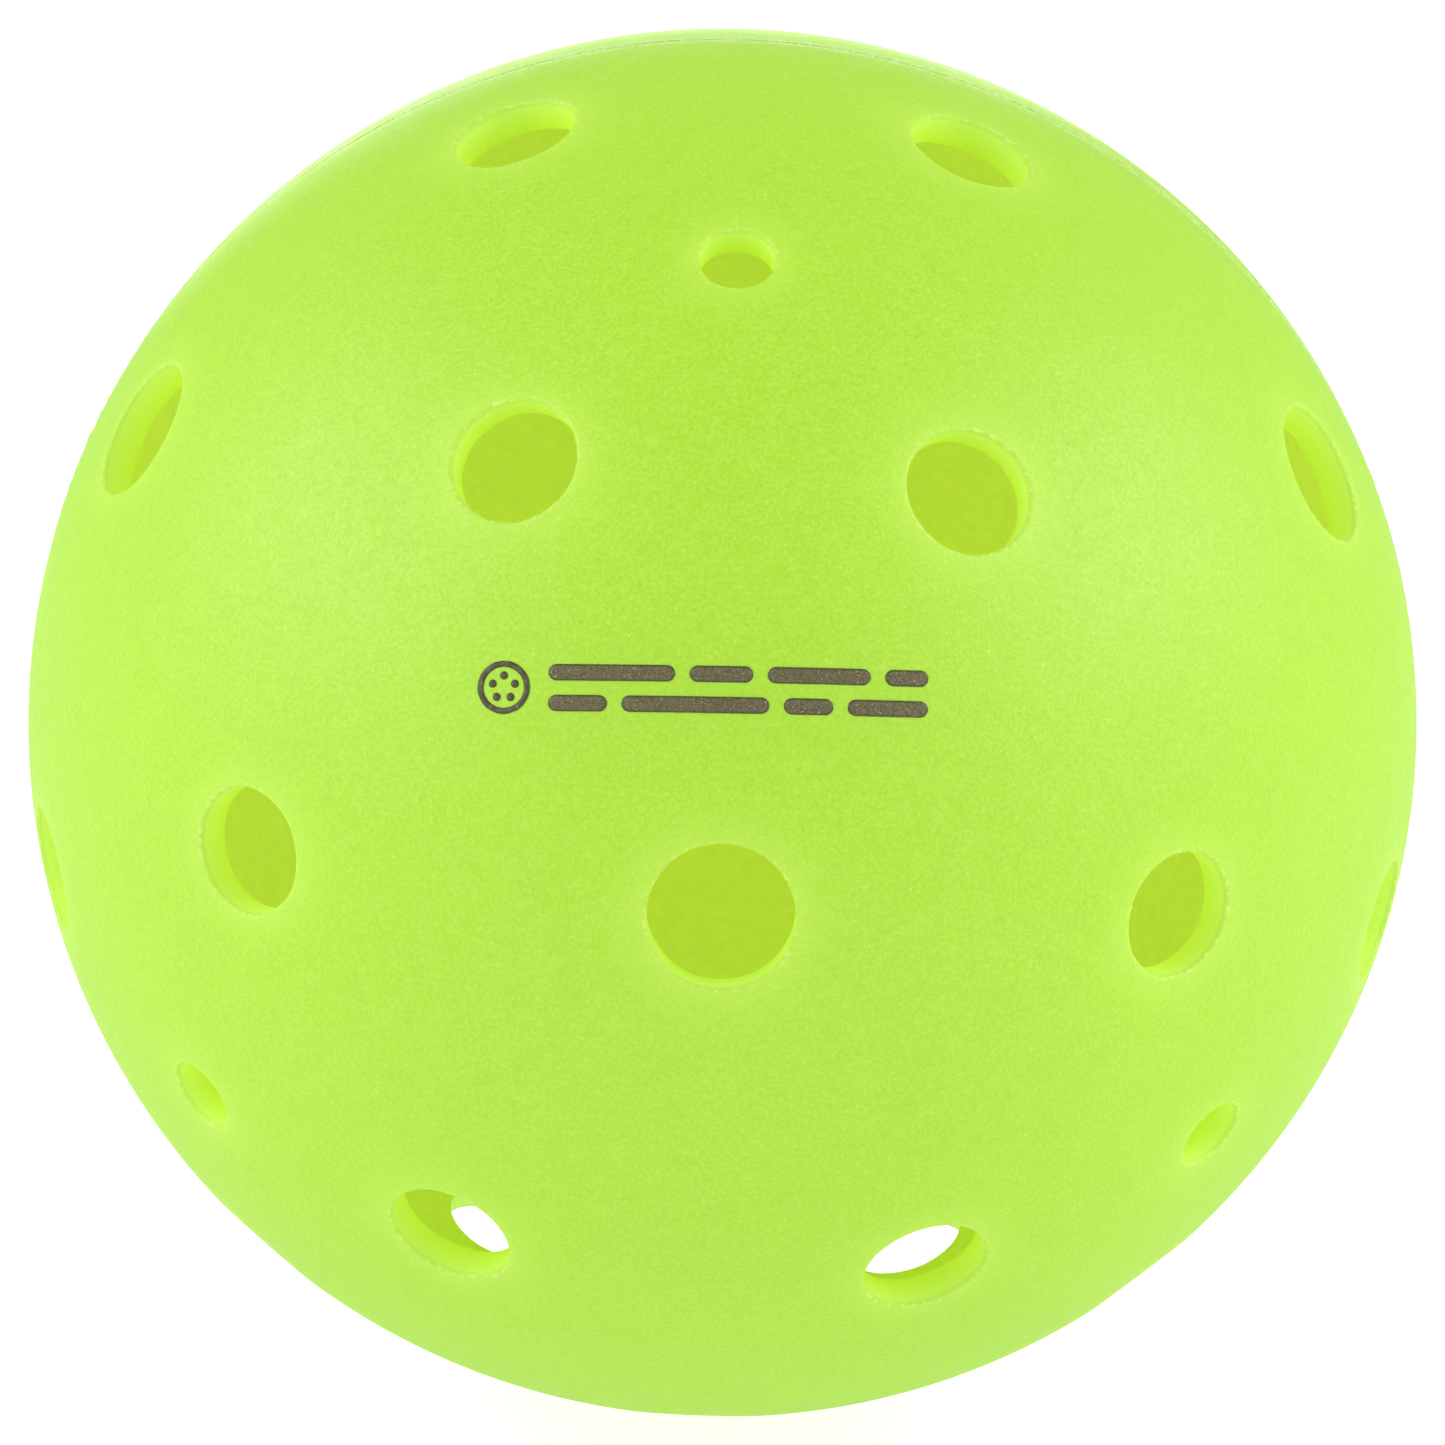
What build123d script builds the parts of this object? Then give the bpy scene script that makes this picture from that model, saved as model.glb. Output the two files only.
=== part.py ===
"""Pickleball ball: two drilled half shells, the weld that joins them and the printed mark.

The ball is centred on the origin. The front pole faces -Y, the weld lies in the XZ plane
and +Z is up. All lengths are in millimetres and all angles in degrees.
"""

import os
from math import cos, radians, sin

from build123d import *

# ---- Ball ----------------------------------------------------------------------------
BALL_RADIUS = 37.0
WALL_THICKNESS = 1.8
INNER_RADIUS = BALL_RADIUS - WALL_THICKNESS

# ---- Weld: the band of remelted wall between the half shells, with its bead inside ----
WELD_WIDTH = 0.4
BEAD_WIDTH = 1.8
BEAD_HEIGHT = 0.5

# ---- Holes: drilled square to the surface, in rings about each pole -------------------
SMALL_HOLE = 3.8
MEDIUM_HOLE = 6.4
LARGE_HOLE = 7.3
OUTER_RIM_ROUND = 0.2
INNER_RIM_ROUND = 0.1
DRILL_DEPTH = 3 * WALL_THICKNESS

# The pattern repeats three times round a half shell. A turn of 0 points up, along +Z,
# and turns grow clockwise as the pole is looked at from outside.
REPEAT_TURNS = (0, 120, 240)

POLE_HOLE_DRIFT = 0.8  # the pole hole sits half a millimetre off the true pole
POLE_HOLE_TURN = 65
INNER_RING_POLAR = 39.2
INNER_RING_SPREAD = 28.8
INNER_RING_TWIST = 1.8
SMALL_RING_POLAR = 54.0
LARGE_RING_POLAR = 72.4
LARGE_RING_TURN = 60
OUTER_RING_POLAR = 74.3
OUTER_RING_SPREAD = 19.2

# ---- Printed mark: a ring of ink round five dots, then two rows of plain bars ---------
INK_THICKNESS = 0.03
MARK_POLAR = 17.8
MARK_TURN = -4.5
MARK_TILT = 1.2
PRINT_BLOCK_DEPTH = 6.0
BADGE_CENTRE = -9.7
BADGE_RADIUS = 1.3
BADGE_LINE = 0.3
DOT_RADIUS = 0.2
DOT_RING_RADIUS = 0.58
DOT_COUNT = 5
BAR_HEIGHT = 0.8
BAR_ROW_PITCH = 1.5
BARS_START = -7.5
BAR_GAP = 0.7
UPPER_BARS = (6.2, 3.1, 5.0, 2.1)
LOWER_BARS = (2.9, 7.2, 2.4, 3.9)


def outward(polar, turn):
    """Unit vector from the ball's centre, given by its angles about the front pole."""
    return Vector(
        sin(radians(polar)) * sin(radians(turn)),
        -cos(radians(polar)),
        sin(radians(polar)) * cos(radians(turn)),
    )


def surface_plane(polar, turn):
    """Plane that touches the ball's outside there, facing outward."""
    normal = outward(polar, turn)
    return Plane(origin=normal * BALL_RADIUS, z_dir=normal)


def both_sides(turns, spread, twist=0):
    """Turns of the pairs of holes that stand either side of each given turn."""
    return [turn + side * spread + twist for turn in turns for side in (-1, 1)]


LARGE_RING_TURNS = [turn + LARGE_RING_TURN for turn in REPEAT_TURNS]

# Each ring is its hole diameter, its polar angle and the turns of its holes.
HOLE_RINGS = (
    (LARGE_HOLE, POLE_HOLE_DRIFT, [POLE_HOLE_TURN]),
    (MEDIUM_HOLE, INNER_RING_POLAR, both_sides(REPEAT_TURNS, INNER_RING_SPREAD, INNER_RING_TWIST)),
    (SMALL_HOLE, SMALL_RING_POLAR, REPEAT_TURNS),
    (LARGE_HOLE, LARGE_RING_POLAR, LARGE_RING_TURNS),
    (MEDIUM_HOLE, OUTER_RING_POLAR, both_sides(REPEAT_TURNS, OUTER_RING_SPREAD)),
)


def hole_rims(part, shell_radius):
    """The round edges that the holes leave in the surface of the given radius."""

    def is_rim(edge):
        on_surface = abs(edge.position_at(0).length - shell_radius) < 0.01
        return on_surface and edge.radius < LARGE_HOLE

    return part.edges().filter_by(GeomType.CIRCLE).filter_by(is_rim)


# ---- Front half shell -----------------------------------------------------------------
with BuildPart() as front_half_shell:
    with BuildSketch(Plane.XY) as wall_section:
        Circle(BALL_RADIUS)
        Circle(INNER_RADIUS, mode=Mode.SUBTRACT)
        with Locations((0, -WELD_WIDTH / 2)):
            Rectangle(
                BALL_RADIUS,
                BALL_RADIUS,
                align=(Align.MIN, Align.MAX),
                mode=Mode.INTERSECT,
            )
    revolve(axis=Axis.Y)
    for diameter, polar, turns in HOLE_RINGS:
        with Locations(*[surface_plane(polar, turn) for turn in turns]):
            Hole(diameter / 2, depth=DRILL_DEPTH)
    fillet(hole_rims(front_half_shell.part, BALL_RADIUS), OUTER_RIM_ROUND)
    fillet(hole_rims(front_half_shell.part, INNER_RADIUS), INNER_RIM_ROUND)
front_half_shell.part.label = "front_half_shell"

# ---- Rear half shell: the same moulding, turned over ------------------------------------
with BuildPart() as rear_half_shell:
    add(front_half_shell.part, rotation=(180, 0, 0))
rear_half_shell.part.label = "rear_half_shell"

# ---- Weld: flush with the outside, with a low bead on the inner wall --------------------
with BuildPart() as weld_ring:
    with BuildSketch(Plane.XY) as weld_section:
        with Locations((INNER_RADIUS, 0)):
            Ellipse(BEAD_HEIGHT, BEAD_WIDTH / 2)
        Circle(INNER_RADIUS, mode=Mode.INTERSECT)
        with Locations((INNER_RADIUS - BEAD_HEIGHT / 2, 0)):
            Rectangle(2 * WALL_THICKNESS, WELD_WIDTH, align=(Align.MIN, Align.CENTER))
        Circle(BALL_RADIUS, mode=Mode.INTERSECT)
    revolve(axis=Axis.Y)
weld_ring.part.label = "weld_ring"


def bar_row(lengths, height):
    """One row of round-ended bars, laid end to end with even gaps."""
    start = BARS_START
    for length in lengths:
        with Locations((start + length / 2, height)):
            SlotOverall(length, BAR_HEIGHT)
        start += length + BAR_GAP


# ---- Printed mark: ink pads cut from a thin skin on the front half shell ----------------
mark_plane = surface_plane(MARK_POLAR, MARK_TURN)
mark_plane = Plane(
    origin=mark_plane.origin,
    x_dir=Vector(1, 0, 0) - mark_plane.z_dir * mark_plane.z_dir.X,
    z_dir=mark_plane.z_dir,
).rotated((0, 0, MARK_TILT))

with BuildPart() as printed_mark:
    with BuildSketch(mark_plane) as mark_outline:
        with Locations((BADGE_CENTRE, 0)):
            Circle(BADGE_RADIUS)
            Circle(BADGE_RADIUS - BADGE_LINE, mode=Mode.SUBTRACT)
            with PolarLocations(DOT_RING_RADIUS, DOT_COUNT, start_angle=90):
                Circle(DOT_RADIUS)
        bar_row(UPPER_BARS, BAR_ROW_PITCH / 2)
        bar_row(LOWER_BARS, -BAR_ROW_PITCH / 2)
    extrude(amount=PRINT_BLOCK_DEPTH / 2, both=True)
    Sphere(BALL_RADIUS + INK_THICKNESS, mode=Mode.INTERSECT)
    Sphere(BALL_RADIUS, mode=Mode.SUBTRACT)
printed_mark.part.label = "printed_mark"

# ---- Files ------------------------------------------------------------------------------
os.makedirs("parts", exist_ok=True)
for piece in (front_half_shell, rear_half_shell, weld_ring, printed_mark):
    export_step(piece.part, f"parts/{piece.part.label}.step")
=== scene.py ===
"""Looks for a pickleball ball: two drilled half shells, the weld between them and the print.

A mesh is worked out in millimetres in the row frame and scaled to metres when it is built.
Angles are in degrees. The front pole faces -Y. A turn of 0 points along +Z and turns grow
clockwise as a pole is looked at from outside, just as in the CAD model.
"""

import math

import bpy
import numpy as np
from mathutils import Matrix, Vector
from mathutils.geometry import delaunay_2d_cdt


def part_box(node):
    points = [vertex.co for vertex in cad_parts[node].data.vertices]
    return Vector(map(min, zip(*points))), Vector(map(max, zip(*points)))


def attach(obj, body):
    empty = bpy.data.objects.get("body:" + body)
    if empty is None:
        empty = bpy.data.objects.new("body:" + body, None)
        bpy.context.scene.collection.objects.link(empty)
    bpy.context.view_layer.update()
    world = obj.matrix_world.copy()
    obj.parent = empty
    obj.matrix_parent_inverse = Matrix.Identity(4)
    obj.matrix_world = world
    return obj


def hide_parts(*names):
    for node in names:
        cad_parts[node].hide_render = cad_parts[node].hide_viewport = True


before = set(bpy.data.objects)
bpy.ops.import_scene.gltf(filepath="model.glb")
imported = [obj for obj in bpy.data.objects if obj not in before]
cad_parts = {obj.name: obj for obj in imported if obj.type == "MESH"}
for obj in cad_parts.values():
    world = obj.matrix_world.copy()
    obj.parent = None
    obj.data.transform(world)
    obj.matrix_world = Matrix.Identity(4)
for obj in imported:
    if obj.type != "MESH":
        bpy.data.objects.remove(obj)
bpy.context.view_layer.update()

MM = 0.001

# ---- Ball ----------------------------------------------------------------------------
ENVELOPE_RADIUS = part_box("weld_ring")[1].z / MM
SKIN_CLEARANCE = 0.06  # room for burrs, ink and the weld's beading inside the ball's size
WALL_THICKNESS = 1.8
SKIN_RADIUS = ENVELOPE_RADIUS - SKIN_CLEARANCE
INNER_RADIUS = ENVELOPE_RADIUS - WALL_THICKNESS
BALL_SIZE = 2 * ENVELOPE_RADIUS * MM

# ---- Weld ------------------------------------------------------------------------------
WELD_HALF_WIDTH = 0.2
BEAD_HALF_WIDTH = 0.9
BEAD_HEIGHT = 0.5
LIP_GROOVE = 0.05
WELD_SEED = 5

# ---- Holes -----------------------------------------------------------------------------
SMALL_HOLE = 3.8
MEDIUM_HOLE = 6.4
LARGE_HOLE = 7.3
OUTER_RIM_ROUND = 0.2
INNER_RIM_ROUND = 0.1
OUT_OF_ROUND = 0.012
DRILL_CHATTER = 0.007
BURR_HEIGHT = 0.05
BURR_LEAN = 0.4  # how far a burr leans over its hole, as a share of its height

REPEAT_TURNS = (0, 120, 240)
POLE_HOLE_DRIFT = 0.8
POLE_HOLE_TURN = 65
INNER_RING_POLAR = 39.2
INNER_RING_SPREAD = 28.8
INNER_RING_TWIST = 1.8
SMALL_RING_POLAR = 54.0
LARGE_RING_POLAR = 72.4
LARGE_RING_TURN = 60
OUTER_RING_POLAR = 74.3
OUTER_RING_SPREAD = 19.2

# ---- Mesh density: the spacing of points, in millimetres ---------------------------------
RIM_SPACING = 0.115
OUTER_SKIN_SPACING = 0.8
INNER_SKIN_SPACING = 1.15
SEAM_SPACING = 0.32
WELD_SPACING = 0.2
INK_SPACING = 0.22
INK_CURVE_SPACING = 0.1

# Circles of points in the skin round each hole: how far each is from the rim, and how many
# times fewer points it has than the rim.
RIM_COLLARS = ((0.11, 1), (0.3, 2), (0.62, 4))
COLLAR_REACH = RIM_COLLARS[-1][0]

# ---- Print -----------------------------------------------------------------------------
MARK_POLAR = 17.8
MARK_TURN = -4.5
MARK_TILT = 1.2
BADGE_CENTRE = -9.7
BADGE_RADIUS = 1.3
BADGE_LINE = 0.3
DOT_RADIUS = 0.2
DOT_RING_RADIUS = 0.58
DOT_COUNT = 5
BAR_HEIGHT = 0.8
BAR_ROW_PITCH = 1.5
BARS_START = -7.5
BAR_GAP = 0.7
UPPER_BARS = (6.2, 3.1, 5.0, 2.1)
LOWER_BARS = (2.9, 7.2, 2.4, 3.9)
INK_TOP = 0.02
INK_BOTTOM = -0.03
INK_WOBBLE = 0.012
INK_SEED = 11

# ---- Camera ----------------------------------------------------------------------------
CAMERA_ELEVATION = 15.3
CAMERA_AZIMUTH = 0.3
CAMERA_ROLL = -2.1
CAMERA_DISTANCE = 11.0  # in ball radii
FRAME_FILL = 0.9626  # the ball's width over the picture's width

# ---- Studio ----------------------------------------------------------------------------
FLOOR_HALF_SIZE = 40  # in ball sizes, as are the distances and sizes of the lights
PAPER_GLOW = 0.84
SIDE_LIGHT_SIZE = (5.0, 3.2)
LIGHT_DISTANCE = 5.0
WORLD_STRENGTH = 0.71

GOLDEN_ANGLE = math.pi * (3 - math.sqrt(5))
FAR_AWAY = 99.0  # millimetres, more than any gap on the ball


def unit(vector):
    return vector / np.linalg.norm(vector)


def outward(polar, turn):
    """Unit vector from the ball's centre, given by its angles about the front pole."""
    polar = math.radians(polar)
    turn = math.radians(turn)
    return np.array(
        [
            math.sin(polar) * math.sin(turn),
            -math.cos(polar),
            math.sin(polar) * math.cos(turn),
        ]
    )


def both_sides(turns, spread, twist=0):
    """Turns of the pairs of holes that stand either side of each given turn."""
    return [turn + side * spread + twist for turn in turns for side in (-1, 1)]


LARGE_RING_TURNS = [turn + LARGE_RING_TURN for turn in REPEAT_TURNS]
HOLE_RINGS = (
    (LARGE_HOLE, POLE_HOLE_DRIFT, [POLE_HOLE_TURN]),
    (MEDIUM_HOLE, INNER_RING_POLAR, both_sides(REPEAT_TURNS, INNER_RING_SPREAD, INNER_RING_TWIST)),
    (SMALL_HOLE, SMALL_RING_POLAR, REPEAT_TURNS),
    (LARGE_HOLE, LARGE_RING_POLAR, LARGE_RING_TURNS),
    (MEDIUM_HOLE, OUTER_RING_POLAR, both_sides(REPEAT_TURNS, OUTER_RING_SPREAD)),
)
HOLES = [
    (diameter / 2, outward(polar, turn))
    for diameter, polar, turns in HOLE_RINGS
    for turn in turns
]


# ---- Mesh helpers ------------------------------------------------------------------------
def circle_angles(count):
    return np.arange(count) * 2 * math.pi / count


def spokes(direction, count):
    """Unit vectors square to a direction, evenly spaced round it."""
    right = unit(np.cross([0.0, 0.0, 1.0], direction))
    up = np.cross(direction, right)
    angles = circle_angles(count)
    return np.outer(np.cos(angles), right) + np.outer(np.sin(angles), up)


def closed_edges(loop):
    """Pairs of neighbouring vertex numbers round a closed loop."""
    return list(zip(loop.tolist(), np.roll(loop, -1).tolist()))


def triangulate(flat, edges):
    """Triangles between flat points, as point numbers, with the given edges kept."""
    corners = [Vector(pair) for pair in flat.tolist()]
    _, _, triangles, origins, _, _ = delaunay_2d_cdt(corners, edges, [], 0, 1e-9)
    original = np.array([numbers[0] for numbers in origins])
    return original[np.array(triangles)]


def waves(angles, rng, lowest, highest, count):
    """Smooth random unevenness round a circle, mostly between -1 and 1."""
    total = np.zeros_like(angles)
    for _ in range(count):
        number = rng.integers(lowest, highest + 1)
        total += np.sin(number * angles + rng.uniform(0, 2 * math.pi))
    return total / math.sqrt(count)


def strips(rings, flip=False):
    """Quads between consecutive rings of vertex numbers, each ring closed on itself."""
    quads = []
    for near, far in zip(rings, rings[1:]):
        near_next = np.roll(near, -1)
        far_next = np.roll(far, -1)
        band = (near, near_next, far_next, far)
        if flip:
            band = band[::-1]
        quads.extend(zip(*(side.tolist() for side in band)))
    return quads


class PointStore:
    """Vertices gathered ring by ring, handed back as numbered groups."""

    def __init__(self):
        self.blocks = []
        self.count = 0

    def add(self, points):
        numbers = np.arange(self.count, self.count + len(points))
        self.blocks.append(np.asarray(points, float))
        self.count += len(points)
        return numbers

    def array(self):
        return np.concatenate(self.blocks)


def make_piece(name, points, faces, material, attributes=None):
    """A smooth-shaded mesh object from points in millimetres, with its point attributes."""
    mesh = bpy.data.meshes.new(name)
    mesh.from_pydata((points * MM).tolist(), [], faces)
    mesh.shade_smooth()
    for title, values in (attributes or {}).items():
        layer = mesh.attributes.new(title, "FLOAT", "POINT")
        layer.data.foreach_set("value", np.asarray(values, np.float32))
    mesh.materials.append(material)
    mesh.validate()
    piece = bpy.data.objects.new(name, mesh)
    bpy.context.scene.collection.objects.link(piece)
    return piece


# ---- Half shell --------------------------------------------------------------------------
def rounded_rim_centre(shell_radius, hole_radius, rounding):
    """Where the rounding's arc is centred: (distance from the hole's axis, height on it)."""
    away = hole_radius + abs(rounding)
    height = math.sqrt((shell_radius - rounding) ** 2 - away**2)
    return away, height


def hole_profile(hole_radius):
    """The hole's section from the outer skin to the inner one, as (away, height) pairs."""
    away, height = rounded_rim_centre(SKIN_RADIUS, hole_radius, OUTER_RIM_ROUND)
    start = math.atan2(height, away)
    profile = [
        (away + OUTER_RIM_ROUND * math.cos(a), height + OUTER_RIM_ROUND * math.sin(a))
        for a in np.linspace(start, math.pi, 6)
    ]
    inner_away, inner_height = rounded_rim_centre(INNER_RADIUS, hole_radius, -INNER_RIM_ROUND)
    end = math.atan2(inner_height, inner_away)
    for share in (0.2, 0.4, 0.6, 0.8):
        profile.append((hole_radius, height + share * (inner_height - height)))
    profile += [
        (
            inner_away + INNER_RIM_ROUND * math.cos(math.pi + a),
            inner_height + INNER_RIM_ROUND * math.sin(math.pi + a),
        )
        for a in np.linspace(0, end, 4)
    ]
    return profile


def burr_heights(angles, rng):
    """Small ragged lips left by the drill: rare, narrow and gathered in a few places."""
    spikes = np.clip(waves(angles, rng, 25, 70, 9) - 0.7, 0, None)
    patches = np.clip(0.5 + waves(angles, rng, 1, 5, 3), 0, 1.2)
    return BURR_HEIGHT * spikes * patches


def hole_rings(store, hole_radius, direction, rng):
    """Adds the rings of points that line one hole and returns their vertex numbers."""
    count = 4 * round(2 * math.pi * hole_radius / RIM_SPACING / 4)
    angles = circle_angles(count)
    around = spokes(direction, count)
    out_of_round = OUT_OF_ROUND * waves(angles, rng, 2, 6, 3)
    chatter = DRILL_CHATTER * waves(angles, rng, 18, 50, 6)
    burrs = burr_heights(angles, rng)
    profile = hole_profile(hole_radius)
    rim_steps = 6
    rings = []
    for step, (away, height) in enumerate(profile):
        # The end rings stay true circles, because the skins are laid out against them.
        is_end = step in (0, len(profile) - 1)
        wobble = np.zeros(count) if is_end else out_of_round + chatter
        lift = burrs * math.sin(math.pi * min(step / rim_steps, 1.0))
        points = np.outer(away + wobble - BURR_LEAN * lift, np.ones(3)) * around
        points += np.outer(height + lift, direction)
        rings.append(store.add(points))
    return rings


def spread_points(radius, spacing, holes):
    """Points spread evenly on the front half of a sphere, clear of the holes and the seam."""
    count = int(2 * math.pi * (radius / spacing) ** 2)
    index = np.arange(count) + 0.5
    facing = 1 - index / count
    turn = index * GOLDEN_ANGLE
    across = np.sqrt(1 - facing**2)
    points = np.stack([across * np.cos(turn), -facing, across * np.sin(turn)], axis=1)
    clear = facing * radius > WELD_HALF_WIDTH + 1.3 * spacing
    for hole_radius, direction in holes:
        gap = radius * np.arccos(np.clip(points @ direction, -1, 1)) - hole_radius
        clear &= gap > OUTER_RIM_ROUND + COLLAR_REACH + 0.6 * spacing
    return points[clear] * radius


def skin_circle(radius, direction, away, count):
    """A circle of points on a sphere about a direction, `away` being its own radius."""
    height = math.sqrt(radius**2 - away**2)
    return away * spokes(direction, count) + height * direction


def seam_circle(radius, depth, count):
    """A circle of points on a sphere, parallel to the seam and `depth` in front of it."""
    angles = circle_angles(count)
    across = math.sqrt(radius**2 - depth**2)
    return np.stack(
        [across * np.cos(angles), np.full(count, -depth), across * np.sin(angles)], axis=1
    )


def fill_skin(store, loops):
    """Triangles over a half sphere between closed loops of points, leaving the loops open.

    The sphere is laid flat by stereographic projection, which keeps circles round. The
    last loop is the seam, and everything else lies inside it.
    """
    points = store.array()
    directions = points / np.linalg.norm(points, axis=1, keepdims=True)
    flat = directions[:, (0, 2)] / (1 - directions[:, 1:2])
    edges = []
    loop_of = np.full(len(points), -1)
    for number, loop in enumerate(loops):
        edges.extend(closed_edges(loop))
        loop_of[loop] = number
    triangles = triangulate(flat, edges)
    marks = loop_of[triangles]
    inside_hole = (marks[:, 0] >= 0) & (marks[:, 0] == marks[:, 1]) & (marks[:, 1] == marks[:, 2])
    return triangles[~inside_hole]


def build_skin(radius, spacing, rims, seam, flip):
    """The faces and the extra points of one skin of the half shell.

    rims and seam are arrays of points that the rest of the mesh already holds. Returns
    (new points, triangles), in which the rims' and seam's points are numbered first.
    """
    store = PointStore()
    loops = [store.add(loop) for loop in rims + [seam]]
    shared = store.count
    for (_, direction), rim in zip(HOLES, rims):
        rim_radius = np.linalg.norm(np.cross(rim[0], direction))
        for distance, thinning in RIM_COLLARS:
            store.add(skin_circle(radius, direction, rim_radius + distance, len(rim) // thinning))
    store.add(seam_circle(radius, WELD_HALF_WIDTH + 0.4, len(seam) // 2))
    store.add(spread_points(radius, spacing, HOLES))
    triangles = fill_skin(store, loops)
    if flip:
        triangles = triangles[:, ::-1]
    return store.array()[shared:], triangles


def lip_profile():
    """The half shell's edge at the weld, as (radius, depth in front of the seam) pairs."""
    return [
        (SKIN_RADIUS, WELD_HALF_WIDTH + LIP_GROOVE),
        (SKIN_RADIUS - 0.25 * LIP_GROOVE, WELD_HALF_WIDTH + 0.4 * LIP_GROOVE),
        (SKIN_RADIUS - 0.6 * LIP_GROOVE, WELD_HALF_WIDTH + 0.1 * LIP_GROOVE),
        (SKIN_RADIUS - 1.2 * LIP_GROOVE, WELD_HALF_WIDTH),
        (INNER_RADIUS, WELD_HALF_WIDTH),
    ]


def half_shell(name, turn_over, seed, material):
    """One drilled half shell. The rear one is the front one's moulding turned over."""
    rng = np.random.default_rng(seed)
    store = PointStore()
    hole_loops = [hole_rings(store, radius, direction, rng) for radius, direction in HOLES]
    seam_count = 2 * round(math.pi * SKIN_RADIUS / SEAM_SPACING)
    lip = [store.add(seam_circle(r, depth, seam_count)) for r, depth in lip_profile()]

    faces = strips(lip, flip=True)
    for rings in hole_loops:
        faces += strips(rings)
    for skin_radius, spacing, end, flip in (
        (SKIN_RADIUS, OUTER_SKIN_SPACING, 0, False),
        (INNER_RADIUS, INNER_SKIN_SPACING, -1, True),
    ):
        known = [rings[end] for rings in hole_loops] + [lip[end]]
        points = store.array()
        rims = [points[numbers] for numbers in known[:-1]]
        extra, triangles = build_skin(skin_radius, spacing, rims, points[known[-1]], flip)
        numbering = np.concatenate(known + [store.add(extra)])
        faces += numbering[triangles].tolist()

    points = store.array()
    attributes = {
        "hole_gap": hole_gap(points),
        "seam_gap": np.abs(points[:, 1]) - WELD_HALF_WIDTH,
        "depth": depth_in_wall(points),
    }
    if turn_over:
        points = points * np.array([1.0, -1.0, -1.0])
    return make_piece(name, points, faces, material, attributes)


def depth_in_wall(points):
    """How far each point is below the ball's outer skin, in millimetres."""
    return np.clip(SKIN_RADIUS - np.linalg.norm(points, axis=1), 0, None)


def hole_gap(points):
    """How far each point is from the nearest hole's wall, in millimetres; 0 on the wall."""
    nearest = np.full(len(points), FAR_AWAY)
    for hole_radius, direction in HOLES:
        away = np.linalg.norm(np.cross(points, direction), axis=1)
        away = np.where(points @ direction > 0, away, FAR_AWAY)
        nearest = np.minimum(nearest, away - hole_radius)
    return np.clip(nearest, 0, None)


# ---- Weld --------------------------------------------------------------------------------
def weld_ring(material):
    """The weld: a lathe-turned band whose outer edge is left slightly beaded by trimming."""
    rng = np.random.default_rng(WELD_SEED)
    count = 4 * round(2 * math.pi * SKIN_RADIUS / WELD_SPACING / 4)
    angles = circle_angles(count)
    beads = np.clip(waves(angles, rng, 60, 330, 12), -0.3, 1.3)
    patches = np.clip(0.55 + 0.5 * waves(angles, rng, 3, 17, 5), 0.1, 1.0)
    # Each entry is a height above the skin, a place across the seam and the share of the
    # beading it takes. The far edge laps over the rear half shell, so only one groove shows.
    outer = [
        (-0.11, -1.0, 0.0),
        (-0.04, -0.85, 0.2),
        (0.012, -0.6, 0.5),
        (0.02, -0.2, 0.7),
        (0.018, 0.3, 1.0),
        (0.012, 0.8, 1.0),
        (0.006, 1.3, 0.7),
        (-0.02, 1.75, 0.1),
        (-0.11, 1.0, 0.0),
    ]
    store = PointStore()
    rings = []

    def add_ring(radius, across):
        ring = [radius * np.cos(angles), np.broadcast_to(across, (count,)), radius * np.sin(angles)]
        rings.append(store.add(np.stack(ring, axis=1)))

    for height, place, share in outer:
        bumped = SKIN_RADIUS + height + 0.5 * SKIN_CLEARANCE * share * beads * patches
        add_ring(np.minimum(bumped, ENVELOPE_RADIUS - 0.005), place * WELD_HALF_WIDTH)
    # The web between the half shells stops just inside the wall, where the bead spreads out.
    web = 0.85 * WELD_HALF_WIDTH
    foot = INNER_RADIUS + 0.05
    add_ring(foot, web)
    ripple = 1 + 0.18 * waves(angles, rng, 6, 60, 7)
    for place in np.linspace(1, -1, 13):
        low = INNER_RADIUS - BEAD_HEIGHT * math.sqrt(max(0.0, 1 - place**2)) * ripple
        add_ring(low, place * BEAD_HALF_WIDTH)
    add_ring(foot, -web)
    rings.append(rings[0])
    points = store.array()
    faces = strips(rings, flip=True)
    return make_piece("weld_bead", points, faces, material, {"depth": depth_in_wall(points)})


# ---- Print -------------------------------------------------------------------------------
def slot_outline(centre, length, height):
    """Points round a bar with round ends."""
    end = length / 2 - height / 2
    steps = np.linspace(-math.pi / 2, math.pi / 2, 13)
    right = [(end + height / 2 * math.cos(a), height / 2 * math.sin(a)) for a in steps]
    left = [(-x, -y) for x, y in right]
    straight = max(2, round(2 * end / INK_SPACING))
    top = [(end - 2 * end * k / straight, height / 2) for k in range(1, straight)]
    bottom = [(-x, -y) for x, y in top]
    outline = np.array(right + top + left + bottom)
    return outline + np.array(centre)


def ring_outline(centre, radius):
    """Points round a circle."""
    angles = circle_angles(max(24, round(2 * math.pi * radius / INK_CURVE_SPACING)))
    return np.stack([np.cos(angles), np.sin(angles)], axis=1) * radius + np.array(centre)


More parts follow.
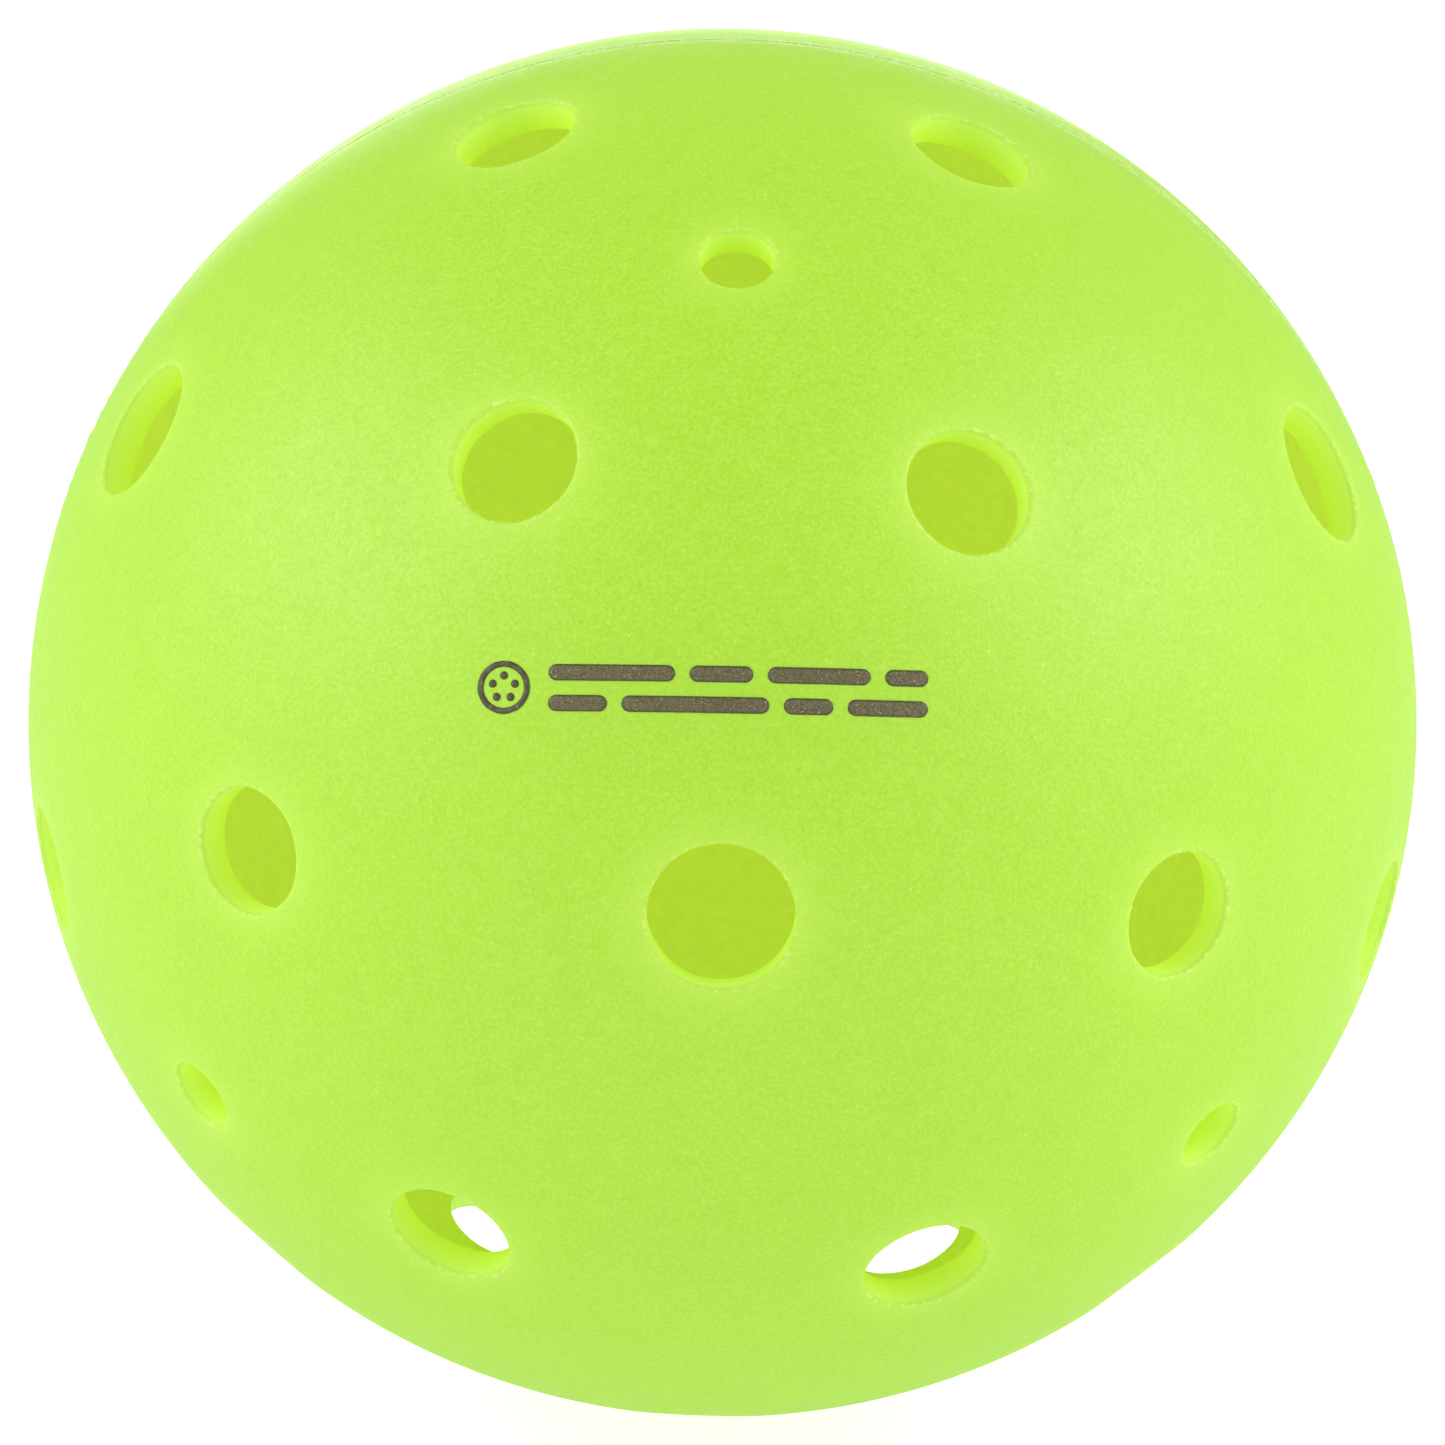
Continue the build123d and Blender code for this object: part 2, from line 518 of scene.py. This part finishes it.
def ink_pads():
    """Every pad of ink as its closed outlines, the outer one first."""
    badge = (BADGE_CENTRE, 0)
    pads = [[ring_outline(badge, BADGE_RADIUS), ring_outline(badge, BADGE_RADIUS - BADGE_LINE)]]
    for k in range(DOT_COUNT):
        angle = math.radians(90) + 2 * math.pi * k / DOT_COUNT
        dot = (
            BADGE_CENTRE + DOT_RING_RADIUS * math.cos(angle),
            DOT_RING_RADIUS * math.sin(angle),
        )
        pads.append([ring_outline(dot, DOT_RADIUS)])
    for lengths, height in ((UPPER_BARS, BAR_ROW_PITCH / 2), (LOWER_BARS, -BAR_ROW_PITCH / 2)):
        start = BARS_START
        for length in lengths:
            pads.append([slot_outline((start + length / 2, height), length, BAR_HEIGHT)])
            start += length + BAR_GAP
    return pads


def distance_to(points, outlines):
    """How far each flat point is from the nearest stretch of the outlines."""
    nearest = np.full(len(points), FAR_AWAY)
    for outline in outlines:
        step = np.roll(outline, -1, axis=0) - outline
        for start, along in zip(outline, step):
            share = np.clip((points - start) @ along / (along @ along), 0, 1)
            gap = np.linalg.norm(points - start - share[:, None] * along, axis=1)
            nearest = np.minimum(nearest, gap)
    return nearest


def inner_grid(outlines):
    """Evenly spaced flat points inside a pad, clear of its outlines."""
    outer = outlines[0]
    low = outer.min(axis=0)
    high = outer.max(axis=0)
    columns = np.arange(low[0], high[0], INK_SPACING)
    rows = np.arange(low[1], high[1], INK_SPACING * 0.87)
    grid = [
        (x + INK_SPACING / 2 * (number % 2), y) for number, y in enumerate(rows) for x in columns
    ]
    grid = np.array(grid)
    keep = is_inside_pad(grid, outlines) & (distance_to(grid, outlines) > 0.4 * INK_SPACING)
    return grid[keep]


def is_inside(points, outline):
    """True for the flat points inside a closed outline."""
    x, y = points[:, 0:1], points[:, 1:2]
    ahead = np.roll(outline, -1, axis=0)
    crosses = (outline[:, 1] > y) != (ahead[:, 1] > y)
    rise = np.where(ahead[:, 1] == outline[:, 1], 1.0, ahead[:, 1] - outline[:, 1])
    meet = outline[:, 0] + (y - outline[:, 1]) * (ahead[:, 0] - outline[:, 0]) / rise
    return (np.count_nonzero(crosses & (x < meet), axis=1) % 2) == 1


def is_inside_pad(points, outlines):
    """True for the flat points inside a pad's outer outline and outside its inner ones."""
    inside = is_inside(points, outlines[0])
    for hole in outlines[1:]:
        inside &= ~is_inside(points, hole)
    return inside


def printed_mark(material):
    """The ink: thin closed pads that follow the ball, with slightly uneven edges."""
    rng = np.random.default_rng(INK_SEED)
    normal = outward(MARK_POLAR, MARK_TURN)
    level = unit(np.array([1.0, 0.0, 0.0]) - normal * normal[0])
    rise = np.cross(normal, level)
    tilt = math.radians(MARK_TILT)
    along = math.cos(tilt) * level + math.sin(tilt) * rise
    across = np.cross(normal, along)

    def on_ball(flat, radius):
        height = np.sqrt(radius**2 - (flat**2).sum(axis=1, keepdims=True))
        return flat[:, 0:1] * along + flat[:, 1:2] * across + height * normal

    store = PointStore()
    faces = []
    edge_gap = []
    for outlines in ink_pads():
        loops = []
        for outline in outlines:
            wobble = INK_WOBBLE * waves(circle_angles(len(outline)), rng, 5, 40, 6)
            middle = outline.mean(axis=0)
            width = np.ptp(outline, axis=0).max()
            loops.append(outline + wobble[:, None] * (outline - middle) / width)
        flat = np.concatenate(loops + [inner_grid(loops)])
        ends = np.cumsum([0] + [len(loop) for loop in loops])
        rings = [np.arange(a, b) for a, b in zip(ends, ends[1:])]
        edges = [pair for ring in rings for pair in closed_edges(ring)]
        triangles = triangulate(flat, edges)
        triangles = triangles[is_inside_pad(flat[triangles].mean(axis=1), loops)]
        top = store.add(on_ball(flat, SKIN_RADIUS + INK_TOP))
        base = store.add(on_ball(flat, SKIN_RADIUS + INK_BOTTOM))
        faces += top[triangles].tolist() + base[triangles[:, ::-1]].tolist()
        for number, ring in enumerate(rings):
            faces += strips([top[ring], base[ring]], flip=number == 0)
        gap = distance_to(flat, loops)
        edge_gap += [gap, gap]
    return make_piece(
        "ink_mark", store.array(), faces, material, {"edge_gap": np.concatenate(edge_gap)}
    )


# ---- Materials ---------------------------------------------------------------------------
class Graph:
    """A short way to write a material's nodes."""

    def __init__(self, name):
        self.material = bpy.data.materials.new(name)
        self.material.use_nodes = True
        self.tree = self.material.node_tree
        self.tree.nodes.clear()
        self.output = self.node("ShaderNodeOutputMaterial")
        self.place = self.node("ShaderNodeTexCoord").outputs["Object"]

    def node(self, kind, **values):
        node = self.tree.nodes.new(kind)
        for key, value in values.items():
            if key in node.inputs:
                self.put(node.inputs[key], value)
            else:
                setattr(node, key, value)
        return node

    def put(self, socket, value):
        if isinstance(value, bpy.types.NodeSocket):
            self.tree.links.new(value, socket)
        else:
            socket.default_value = value

    def noise(self, size, detail=2.0, roughness=0.5):
        """Noise whose features are about `size` millimetres across, from 0 to 1."""
        node = self.node("ShaderNodeTexNoise", Scale=1 / (size * MM), Detail=detail)
        self.put(node.inputs["Roughness"], roughness)
        self.put(node.inputs["Vector"], self.place)
        return node.outputs["Fac"]

    def cells(self, size):
        """Distance to the nearest of scattered points, in units of their spacing."""
        node = self.node("ShaderNodeTexVoronoi", Scale=1 / (size * MM))
        self.put(node.inputs["Vector"], self.place)
        return node.outputs["Distance"]

    def span(self, value, low, high, to_low=0.0, to_high=1.0):
        """Maps a value from one range to another and stops at its ends."""
        node = self.node("ShaderNodeMapRange", clamp=True)
        for key, number in (
            ("Value", value),
            ("From Min", low),
            ("From Max", high),
            ("To Min", to_low),
            ("To Max", to_high),
        ):
            self.put(node.inputs[key], number)
        return node.outputs["Result"]

    def math(self, operation, first, second=0.0):
        node = self.node("ShaderNodeMath", operation=operation)
        self.put(node.inputs[0], first)
        self.put(node.inputs[1], second)
        return node.outputs[0]

    def mix(self, factor, first, second, blend="MIX"):
        node = self.node("ShaderNodeMix", data_type="RGBA", blend_type=blend)
        self.put(node.inputs["Factor"], factor)
        self.put(node.inputs[6], first)
        self.put(node.inputs[7], second)
        return node.outputs[2]

    def shade(self, paint, amount):
        """The colour made darker or lighter by a factor."""
        return self.mix(1.0, paint, amount, "MULTIPLY")

    def speckle(self, paint, spacing, share, strength, tint):
        """Small round specks, one to a cell `spacing` millimetres wide."""
        spot = self.span(self.cells(spacing), 0.5 * share, share, strength, 0.0)
        return self.mix(spot, paint, tint)

    def attribute(self, title):
        return self.node("ShaderNodeAttribute", attribute_name=title).outputs["Fac"]

    def bump(self, height, strength, distance):
        node = self.node("ShaderNodeBump", Strength=strength, Distance=distance * MM)
        self.put(node.inputs["Height"], height)
        return node.outputs["Normal"]

    def finish(self, shader):
        self.tree.links.new(shader.outputs[0], self.output.inputs["Surface"])
        return self.material


def colour(red, green, blue):
    """A display colour, each channel from 0 to 255, as the linear values that nodes use."""

    def linear(channel):
        share = channel / 255
        return share / 12.92 if share <= 0.04045 else ((share + 0.055) / 1.055) ** 2.4

    return (linear(red), linear(green), linear(blue), 1.0)


LIME = colour(153, 214, 10)
LIME_DEEP = colour(146, 208, 5)
LIME_PALE = colour(168, 220, 50)
LIME_GRAIN = colour(198, 232, 122)
# Painted glow: the skin's colour close to the holes.
LIME_HALO = colour(182, 228, 82)
# Painted light: the rim, wall and inner-skin colours are brighter than the plastic, standing in for
# light that comes through it.
LIME_EDGE = colour(206, 255, 128)
LIME_WALL = colour(214, 255, 56)
LIME_INSIDE = colour(198, 236, 12)
# Pale flecks in the plastic, also used for painted glints along the hole rims.
LIME_FLECK = colour(226, 255, 150)
LIME_TRIMMED = colour(236, 250, 200)
LIME_SPECK = colour(96, 150, 20)
LIME_GLOW = (1.0, 1.0, 0.35, 1.0)
# Painted glow given off by the hole walls.
EDGE_GLOW = (0.01, 0.065, 0.0, 1.0)
BLACK = (0.0, 0.0, 0.0, 1.0)
WHITE = (1.0, 1.0, 1.0, 1.0)
INK_DARK = colour(58, 54, 26)
INK_PALE = colour(106, 100, 66)
# Painted glints in the ink.
INK_SPARKLE = colour(176, 178, 132)
INK_EDGE = colour(48, 48, 8)
PAPER_DARK = (0.35, 0.35, 0.35, 1.0)
PAPER_PALE = (0.38, 0.38, 0.38, 1.0)
TRANSLUCENT_SHARE = 0.42
PLASTIC_IOR = 1.5


def lime_surface(graph):
    """The plastic's own colour: soft clouds, fine grain and scattered light and dark specks.

    Returns the colour and the height of the surface's fine relief.
    """
    cloud = graph.noise(9.0, detail=3.0)
    mottle = graph.noise(1.3, detail=3.0)
    grain = graph.noise(0.2, detail=3.0, roughness=0.65)
    paint = graph.mix(graph.span(cloud, 0.3, 0.7, 0.0, 0.5), LIME, LIME_DEEP)
    paint = graph.mix(graph.span(mottle, 0.3, 0.75, 0.0, 0.4), paint, LIME_PALE)
    paint = graph.mix(graph.span(grain, 0.42, 0.8, 0.0, 0.55), paint, LIME_GRAIN)
    paint = graph.shade(paint, graph.span(grain, 0.2, 0.8, 0.93, 1.06))
    paint = graph.speckle(paint, 1.9, 0.05, 0.45, LIME_FLECK)
    paint = graph.speckle(paint, 3.1, 0.025, 0.5, LIME_SPECK)
    relief = graph.math("ADD", grain, graph.math("MULTIPLY", mottle, 0.6))
    return paint, relief


def translucent_plastic(graph, paint, relief, edge_glow=BLACK):
    """Gloss and colour in front, and the glow of the light that comes through the wall.

    The last argument is a painted glow: light that the cut walls give off of their own, standing in
    for light carried through the dyed plastic.
    """
    rough = graph.span(graph.noise(0.5, detail=3.0), 0.3, 0.75, 0.42, 0.58)
    front = graph.node(
        "ShaderNodeBsdfPrincipled",
        **{
            "Base Color": paint,
            "Roughness": rough,
            "Normal": graph.bump(relief, 0.5, 0.05),
            "IOR": PLASTIC_IOR,
            "Specular IOR Level": 0.95,
            "Emission Color": edge_glow,
            "Emission Strength": 1.0,
        },
    )
    glow = graph.node("ShaderNodeBsdfTranslucent", Color=LIME_GLOW)
    wall = graph.node("ShaderNodeMixShader")
    wall.inputs["Fac"].default_value = TRANSLUCENT_SHARE
    graph.tree.links.new(front.outputs[0], wall.inputs[1])
    graph.tree.links.new(glow.outputs[0], wall.inputs[2])
    return graph.finish(wall)


def yellow_inside(graph, paint, depth):
    """Painted light: pale at a hole's edge, brighter and yellower down its wall and over the inner
    skin, as if lit by light that comes through the plastic; the inner skin is also mottled.
    """
    mottle = graph.span(graph.noise(0.8, detail=6.0, roughness=0.7), 0.3, 0.7, 0.84, 1.08)
    paint = graph.mix(graph.span(depth, 0.08, 0.35, 0.0, 0.9), paint, LIME_EDGE)
    paint = graph.mix(graph.span(depth, 0.2, 1.6), paint, LIME_WALL)
    return graph.mix(graph.span(depth, 1.68, 1.76), paint, graph.shade(LIME_INSIDE, mottle))


def trimmed(graph, paint, nearness):
    """Bright flecks where the weld's flash was cut away, thinning out with `nearness`."""
    flecks = graph.span(graph.noise(0.22, detail=4.0, roughness=0.6), 0.45, 0.6, 0.0, 0.9)
    return graph.mix(graph.math("MULTIPLY", flecks, nearness), paint, LIME_TRIMMED)


def shell_plastic():
    """Lime polyethylene with painted glow: paler near the holes and yellower down their walls and
    inside, as if lit by light that comes through the plastic.
    """
    graph = Graph("lime_plastic")
    paint, relief = lime_surface(graph)
    gap = graph.attribute("hole_gap")
    depth = graph.attribute("depth")
    # Painted glow: the skin is made paler close to each hole, as if lit by light that comes out of the
    # hole's wall.
    halo = graph.math("POWER", graph.span(gap, 0.0, 3.2, 1.0, 0.0), 2.2)
    paint = graph.mix(graph.math("MULTIPLY", halo, 0.55), paint, LIME_HALO)
    paint = yellow_inside(graph, paint, depth)
    rim = graph.math(
        "MULTIPLY",
        graph.span(gap, 0.06, 0.3, 1.0, 0.0),
        graph.span(depth, 0.04, 0.2, 1.0, 0.0),
    )
    # Whitish cut marks along each hole's rim, partly painted glints where the rounded rim catches the
    # light.
    ragged = graph.span(graph.noise(0.34, detail=4.0, roughness=0.7), 0.5, 0.62, 0.0, 0.9)
    cut = graph.math("MULTIPLY", rim, ragged)
    paint = graph.mix(cut, paint, LIME_FLECK)
    relief = graph.math("ADD", relief, graph.math("MULTIPLY", cut, 1.5))
    paint = trimmed(graph, paint, graph.span(graph.attribute("seam_gap"), 0.0, 1.1, 1.0, 0.0))
    # Painted glow: the hole walls give off light of their own, standing in for light carried through
    # the plastic.
    in_wall = graph.math(
        "MULTIPLY",
        graph.span(depth, 0.05, 0.4),
        graph.span(depth, 1.6, 1.76, 1.0, 0.0),
    )
    return translucent_plastic(graph, paint, relief, graph.mix(in_wall, BLACK, EDGE_GLOW))


def weld_plastic():
    """The same plastic remelted: whiter, with bright flecks where it was trimmed."""
    graph = Graph("weld_plastic")
    paint, relief = lime_surface(graph)
    paint = trimmed(graph, paint, 1.0)
    # The weld's inside gets the same painted glow as the hole walls and the inner skin.
    paint = yellow_inside(graph, paint, graph.attribute("depth"))
    return translucent_plastic(graph, paint, relief)


def ink():
    """Dark olive-brown print with a fine grain, painted glints and a darker line at its edges."""
    graph = Graph("ink_print")
    grain = graph.noise(0.09, detail=3.0, roughness=0.65)
    paint = graph.mix(graph.span(grain, 0.35, 0.62), INK_DARK, INK_PALE)
    # Painted glints: small pale spots in the ink's colour, standing in for sparkle.
    sparkle = graph.span(graph.noise(0.13, detail=1.0), 0.66, 0.78)
    paint = graph.mix(graph.math("MULTIPLY", sparkle, 0.7), paint, INK_SPARKLE)
    edge = graph.span(graph.attribute("edge_gap"), 0.02, 0.13, 0.75, 0.0)
    paint = graph.mix(edge, paint, INK_EDGE)
    shader = graph.node(
        "ShaderNodeBsdfPrincipled",
        **{
            "Base Color": paint,
            "Roughness": graph.span(grain, 0.3, 0.7, 0.38, 0.6),
            "Normal": graph.bump(grain, 0.5, 0.02),
            "IOR": PLASTIC_IOR,
        },
    )
    return graph.finish(shader)


def floor_paper():
    """Plain pale studio paper."""
    graph = Graph("studio_paper")
    fibre = graph.noise(2.0, detail=4.0)
    paint = graph.mix(graph.span(fibre, 0.3, 0.7), PAPER_DARK, PAPER_PALE)
    shader = graph.node(
        "ShaderNodeBsdfPrincipled",
        **{
            "Base Color": paint,
            "Roughness": 0.85,
            "Emission Color": WHITE,
            "Emission Strength": PAPER_GLOW,
        },
    )
    return graph.finish(shader)


# ---- Studio ------------------------------------------------------------------------------
def toward(azimuth, elevation):
    """Unit vector from the ball, by angles round from its front and up from the floor."""
    around = math.radians(azimuth)
    above = math.radians(elevation)
    return Vector(
        (
            math.sin(around) * math.cos(above),
            -math.cos(around) * math.cos(above),
            math.sin(above),
        )
    )


def make_floor():
    """A wide sheet of paper under the ball."""
    half = FLOOR_HALF_SIZE * BALL_SIZE / MM
    low = -ENVELOPE_RADIUS
    points = np.array([(-half, -half, low), (half, -half, low), (half, half, low), (-half, half, low)])
    floor = make_piece("floor", points, [(0, 1, 2, 3)], floor_paper())


def soft_box(name, azimuth, elevation, distance, size, power):
    """An area light that looks at the ball. Azimuth 0 is the camera's side."""
    light = bpy.data.lights.new(name, "AREA")
    light.shape = "RECTANGLE"
    light.size = size[0] * BALL_SIZE
    light.size_y = size[1] * BALL_SIZE
    light.energy = power
    lamp = bpy.data.objects.new(name, light)
    away = toward(azimuth, elevation)
    lamp.location = away * distance * BALL_SIZE
    lamp.rotation_euler = away.to_track_quat("Z", "Y").to_euler()
    bpy.context.scene.collection.objects.link(lamp)
    return lamp


def make_lights():
    """Two soft boxes beside the ball, two behind it and an even white surround.

    light_back only makes highlights, and light_rear only lights the plastic.
    """
    soft_box("light_left", -74, 28, LIGHT_DISTANCE, SIDE_LIGHT_SIZE, 0.87)
    soft_box("light_right", 77, 30, LIGHT_DISTANCE, SIDE_LIGHT_SIZE, 0.89)
    backdrop = soft_box("light_back", 184, 4, 6.0, (3.0, 1.6), 0.6)
    backdrop.visible_diffuse = False
    backdrop.visible_transmission = False
    rear = soft_box("light_rear", 180, 25, LIGHT_DISTANCE, (5.0, 4.0), 0.5)
    rear.visible_glossy = False
    world = bpy.data.worlds.new("studio")
    world.use_nodes = True
    background = world.node_tree.nodes["Background"]
    background.inputs["Color"].default_value = WHITE
    background.inputs["Strength"].default_value = WORLD_STRENGTH
    bpy.context.scene.world = world


def make_camera():
    """A long lens in front of the ball and a little above it, rolled slightly."""
    data = bpy.data.cameras.new("camera")
    camera = bpy.data.objects.new("camera", data)
    edge = 1 / math.sqrt(CAMERA_DISTANCE**2 - 1)
    data.angle = 2 * math.atan(edge / FRAME_FILL)
    data.clip_start = 0.01
    away = toward(CAMERA_AZIMUTH, CAMERA_ELEVATION)
    camera.location = away * CAMERA_DISTANCE * ENVELOPE_RADIUS * MM
    facing = away.to_track_quat("Z", "Y").to_matrix().to_4x4()
    roll = Matrix.Rotation(math.radians(-CAMERA_ROLL), 4, "Z")
    camera.matrix_world = Matrix.Translation(camera.location) @ facing @ roll
    bpy.context.scene.collection.objects.link(camera)
    bpy.context.scene.camera = camera


# ---- The model ---------------------------------------------------------------------------
make_camera()
make_floor()
make_lights()

lime = shell_plastic()
front = half_shell("front_shell_skin", turn_over=False, seed=3, material=lime)
rear = half_shell("rear_shell_skin", turn_over=True, seed=4, material=lime)
bead = weld_ring(weld_plastic())
mark = printed_mark(ink())
for piece, node, slot in (
    (front, "front_half_shell", "shell_plastic"),
    (rear, "rear_half_shell", "shell_plastic"),
    (bead, "weld_ring", "weld_plastic"),
    (mark, "printed_mark", "ink"),
):
    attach(piece, "root")
    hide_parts(node)

bpy.context.scene.view_settings.view_transform = "Standard"
